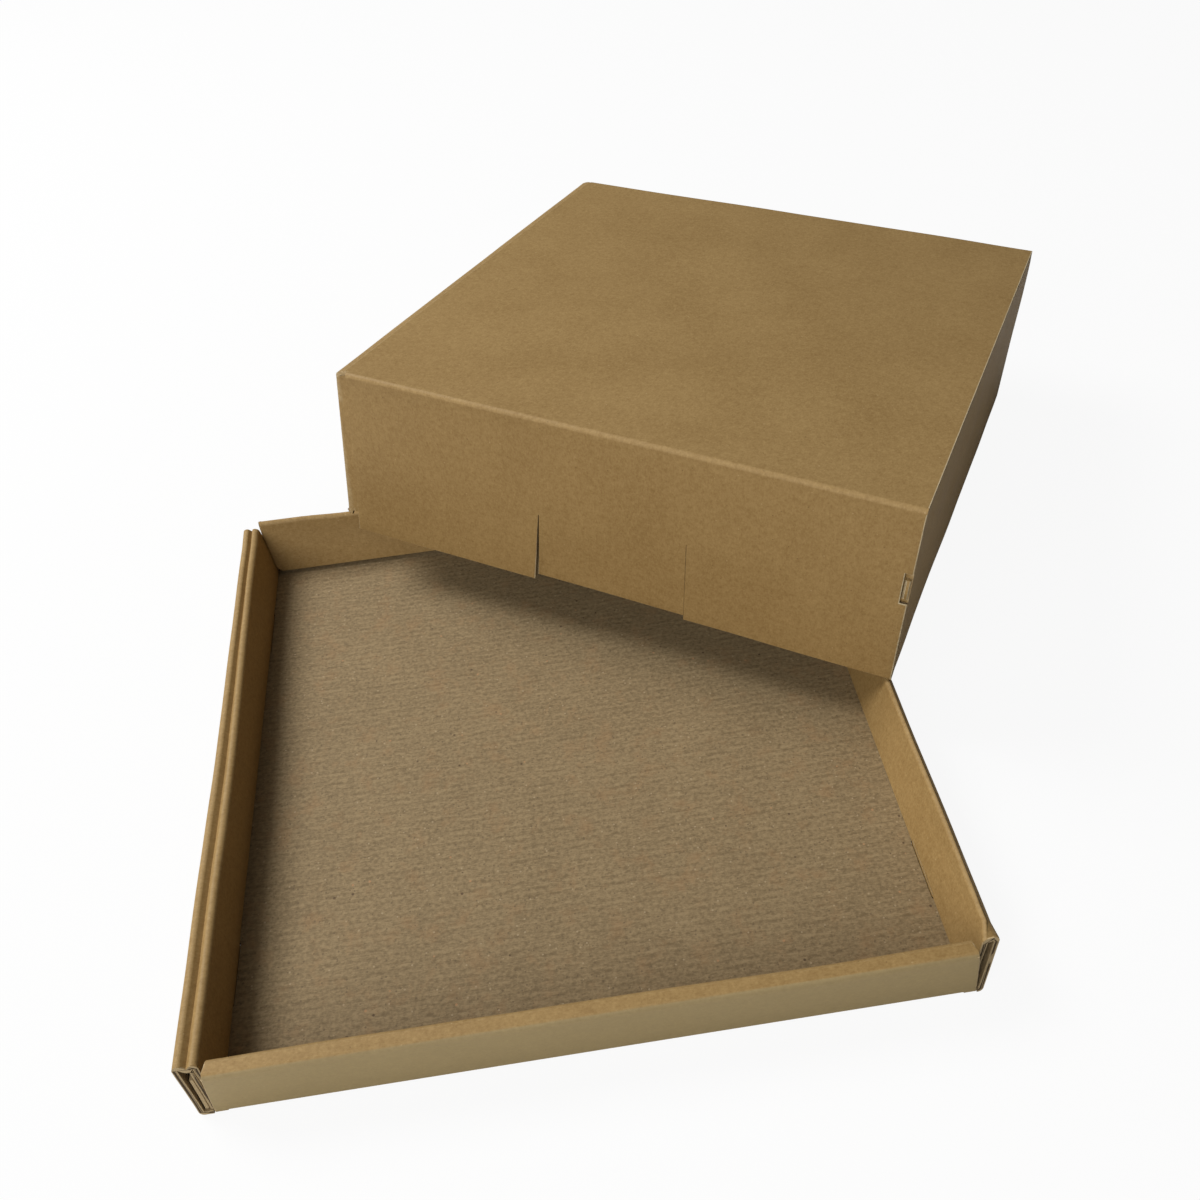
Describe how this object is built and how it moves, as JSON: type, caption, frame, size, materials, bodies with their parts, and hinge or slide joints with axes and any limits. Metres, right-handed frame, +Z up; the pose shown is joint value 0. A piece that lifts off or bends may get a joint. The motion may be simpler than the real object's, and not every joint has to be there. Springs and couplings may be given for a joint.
{
  "type": "cake box",
  "caption": "Two-piece corrugated cake box: shallow tray with rolled double walls and a deep loose lid leaning askew on it.",
  "frame": {"origin": "centre of the tray's underside, on the table", "axes": "+Z up, +X to the right along the tray's front wall, +Y from the tray's front wall to its back wall"},
  "size_m": [0.453, 0.5213, 0.1253],
  "materials": {
    "tray_board": "matte brown kraft, greyer and speckled on the tray's floor",
    "lid_board": "matte brown kraft with a slight sheen"
  },
  "bodies": {
    "root": {"tray": "tray_board", "lid": "lid_board"}
  },
  "joints": []
}
